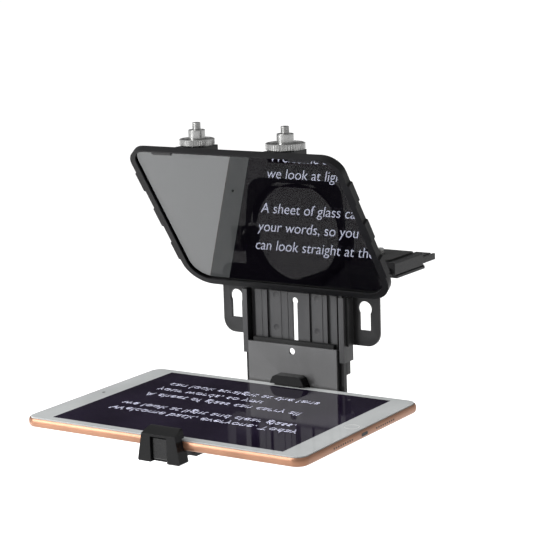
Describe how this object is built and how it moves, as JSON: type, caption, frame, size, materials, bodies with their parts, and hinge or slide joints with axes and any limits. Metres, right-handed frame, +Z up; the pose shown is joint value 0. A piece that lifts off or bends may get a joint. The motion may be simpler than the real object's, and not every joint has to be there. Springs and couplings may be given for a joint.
{
  "type": "teleprompter",
  "caption": "Folding beam-splitter glass over a telescoping tablet clamp, with a lens board, keyholed wings, cold-shoe adapters and a sliding camera plate on a dovetail foot.",
  "frame": {"origin": "centre of the tripod foot's underside", "axes": "+X to the reader's right, +Y back towards the camera, +Z up"},
  "size_m": [0.2506, 0.3855, 0.2385],
  "materials": {
    "black_anodised": "satin black anodised",
    "graphite_plate": "satin dark grey anodised",
    "black_plastic": "fine moulded grain",
    "rubber": "matte",
    "silver_steel": "satin nickel",
    "beam_splitter_glass": "half-silvered, polished",
    "rose_aluminium": "satin rose anodised",
    "screen_glass": "polished"
  },
  "bodies": {
    "body": {"body_panel": "graphite_plate", "lens_board": "graphite_plate", "rear_plate": "black_anodised", "rear_screw_left_low": "silver_steel", "rear_screw_left_top": "silver_steel", "rear_screw_right_low": "silver_steel", "rear_screw_right_top": "silver_steel", "ear_left": "black_anodised", "ear_right": "black_anodised", "lock_plate": "silver_steel", "lock_plate_screw_lower": "silver_steel", "lock_plate_screw_upper": "silver_steel", "lock_washer": "silver_steel", "wing_left": "graphite_plate", "wing_right": "graphite_plate", "hinge_leaf_left": "black_anodised", "hinge_leaf_right": "black_anodised", "hinge_pin_left": "silver_steel", "hinge_pin_right": "silver_steel", "base_plate": "black_anodised", "base_gusset_left": "black_anodised", "base_gusset_right": "black_anodised", "tripod_foot": "black_anodised"},
    "wheel": {"lock_wheel": "black_plastic"},
    "camera_carriage": {"camera_plate": "black_anodised", "camera_pad": "rubber"},
    "camera_bolt": {"camera_screw": "silver_steel"},
    "carriage_knob": {"plate_lock_knob": "black_plastic"},
    "glass": {"glass_frame": "black_plastic", "beam_splitter": "beam_splitter_glass", "glass_retainer": "black_plastic", "glass_clip_left": "black_plastic", "glass_clip_right": "black_plastic", "cold_shoe_left": "black_anodised", "cold_shoe_right": "black_anodised"},
    "adapter_left": {"shoe_adapter_left": "silver_steel"},
    "ring_left": {"shoe_ring_left": "silver_steel"},
    "adapter_right": {"shoe_adapter_right": "silver_steel"},
    "ring_right": {"shoe_ring_right": "silver_steel"},
    "tablet_slider": {"lower_plate": "graphite_plate", "lower_rail_left": "black_anodised", "lower_rail_right": "black_anodised", "slide_shoe_left": "black_plastic", "slide_shoe_right": "black_plastic", "rear_jaw": "black_plastic", "rear_jaw_pad": "rubber", "rear_jaw_screw_left": "silver_steel", "rear_jaw_screw_right": "silver_steel", "tablet_arm": "black_anodised", "arm_pad": "rubber", "arm_screw_left": "silver_steel", "arm_screw_right": "silver_steel"},
    "sliding_jaw": {"jaw_bar": "black_anodised", "front_jaw": "black_plastic", "front_jaw_pad": "rubber"},
    "release_button": {"jaw_button": "black_plastic"},
    "tablet": {"tablet_shell": "rose_aluminium", "tablet_screen": "screen_glass", "tablet_battery": "black_plastic"},
    "tablet_home_button": {"home_button": "screen_glass"}
  },
  "joints": [
    {"name": "glass_tilt", "type": "hinge", "parent": "body", "child": "glass", "pos_m": [0, -0.1631, 0.0259], "axis": [-1, 0, 0], "range_deg": [-10, 34.5]},
    {"name": "lower_slide", "type": "slide", "parent": "body", "child": "tablet_slider", "axis": [0, 0, 1], "range_m": [0, 0.038]},
    {"name": "front_jaw_slide", "type": "slide", "parent": "tablet_slider", "child": "sliding_jaw", "axis": [0, -1, 0], "range_m": [0, 0.03], "stiffness_N_per_m": 150, "springref_m": -0.02},
    {"name": "jaw_button_press", "type": "slide", "parent": "sliding_jaw", "child": "release_button", "axis": [0, 1, 0], "range_m": [0, 0.0008], "stiffness_N_per_m": 900, "springref_m": -0.0006},
    {"name": "tablet_side_slide", "type": "slide", "parent": "tablet_slider", "child": "tablet", "axis": [1, 0, 0], "range_m": [-0.03, 0.03]},
    {"name": "home_button_press", "type": "slide", "parent": "tablet", "child": "tablet_home_button", "axis": [0, 0, -1], "range_m": [0, 0.0004], "stiffness_N_per_m": 1500, "springref_m": -0.0004},
    {"name": "lock_wheel_spin", "type": "hinge", "parent": "body", "child": "wheel", "pos_m": [-0.0381, -0.1605, 0.0552], "axis": [1, 0, 0], "continuous": true},
    {"name": "camera_slide", "type": "slide", "parent": "body", "child": "camera_carriage", "axis": [0, 1, 0], "range_m": [-0.07, 0.03]},
    {"name": "carriage_knob_spin", "type": "hinge", "parent": "camera_carriage", "child": "carriage_knob", "pos_m": [-0.0353, -0.02, 0.0095], "axis": [1, 0, 0], "continuous": true},
    {"name": "camera_screw_spin", "type": "hinge", "parent": "camera_carriage", "child": "camera_bolt", "pos_m": [0, -0.02, 0.015], "axis": [0, 0, 1], "continuous": true},
    {"name": "shoe_adapter_slide_left", "type": "slide", "parent": "glass", "child": "adapter_left", "axis": [0, 1, 0], "range_m": [0, 0.008]},
    {"name": "shoe_ring_spin_left", "type": "hinge", "parent": "adapter_left", "child": "ring_left", "pos_m": [-0.04, -0.2304, 0.139], "axis": [0, 0, 1], "continuous": true},
    {"name": "shoe_adapter_slide_right", "type": "slide", "parent": "glass", "child": "adapter_right", "axis": [0, 1, 0], "range_m": [0, 0.008]},
    {"name": "shoe_ring_spin_right", "type": "hinge", "parent": "adapter_right", "child": "ring_right", "pos_m": [0.04, -0.2304, 0.139], "axis": [0, 0, 1], "continuous": true}
  ]
}
